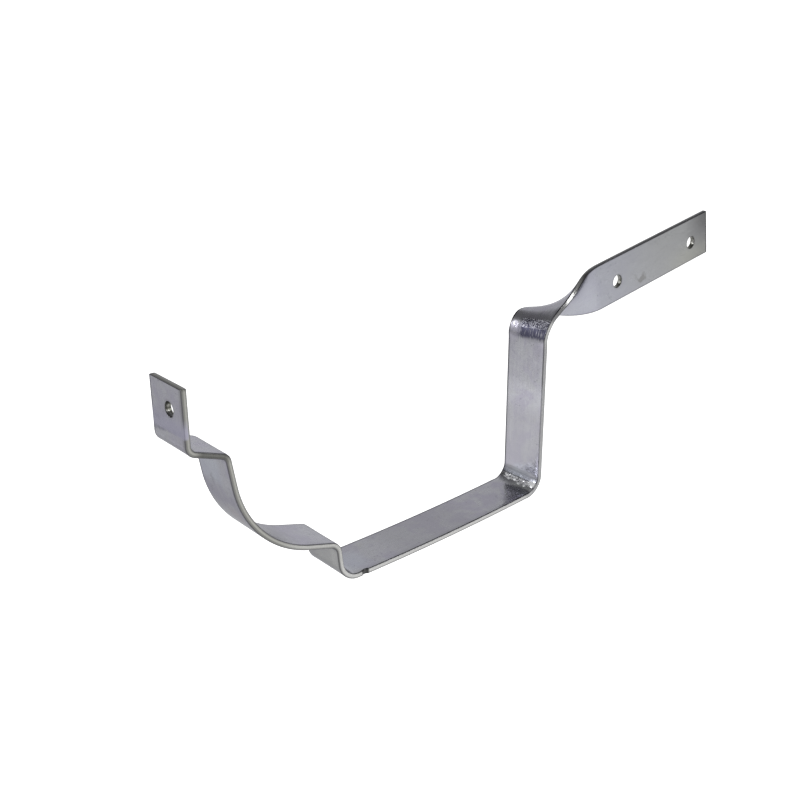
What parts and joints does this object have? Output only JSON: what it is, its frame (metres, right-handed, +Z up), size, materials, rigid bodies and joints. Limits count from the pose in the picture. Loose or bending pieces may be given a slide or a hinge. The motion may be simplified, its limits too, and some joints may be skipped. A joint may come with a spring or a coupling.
{
  "type": "gutter bracket",
  "caption": "Folded metal strap bracket for a moulded gutter, with a front lip, a cove, a flat seat, an upright back and a twisted side-fixing arm.",
  "frame": {"origin": "centre of the arm's front screw hole, on the arm's fixing face (+Y side)", "axes": "+X from the front of the gutter towards the building, +Y along the gutter, +Z up"},
  "size_m": [0.276, 0.0208, 0.1088],
  "materials": {
    "zinc_steel": "satin zinc-coated steel, slightly mottled"
  },
  "bodies": {
    "root": {"bracket_strap": "zinc_steel"}
  },
  "joints": []
}
